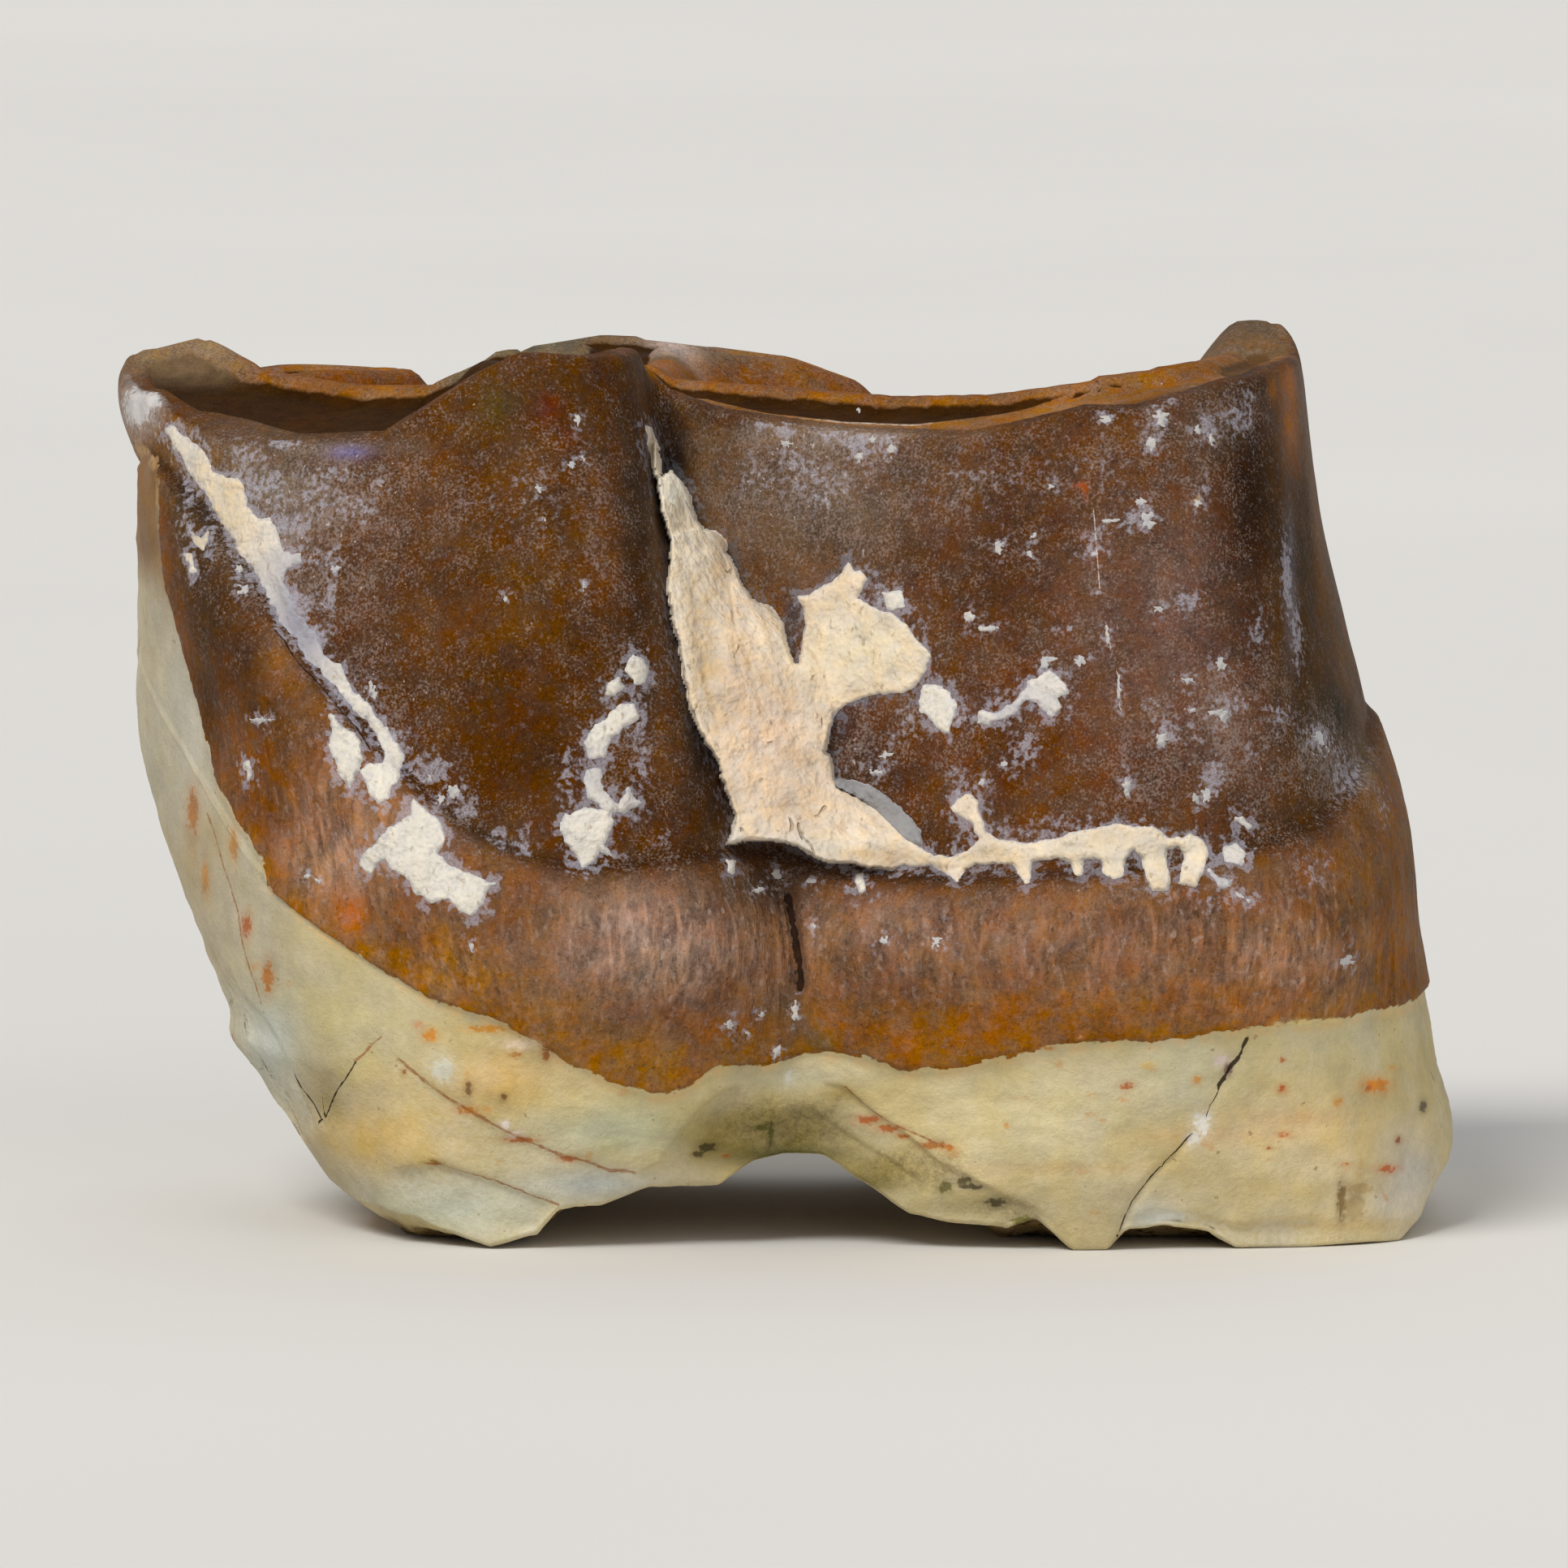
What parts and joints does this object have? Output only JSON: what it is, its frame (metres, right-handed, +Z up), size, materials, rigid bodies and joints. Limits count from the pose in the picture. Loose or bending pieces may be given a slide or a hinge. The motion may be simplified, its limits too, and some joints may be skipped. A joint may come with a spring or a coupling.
{
  "type": "fossil hyracodon tooth",
  "caption": "Fossil lower cheek tooth of a small running rhinoceros relative: a lobed enamel crown with worn crests on broken root stumps, with hardened mud in its outer groove.",
  "frame": {"origin": "middle of the footprint, on the surface that the root stumps stand on", "axes": "+X towards the rear of the jaw along the tooth row, -Y the cheek side with the mud-filled groove, +Y the tongue side with the open valleys, +Z up through the crown"},
  "size_m": [0.023, 0.014, 0.0152],
  "materials": {
    "tooth": "mineralised tooth: dark chocolate-brown glossy enamel crown over waxy cream roots with orange stains",
    "groove_matrix": "dry pale cream hardened mud, matt and crumbly"
  },
  "bodies": {
    "root": {"tooth": "tooth", "groove_matrix": "groove_matrix"}
  },
  "joints": []
}
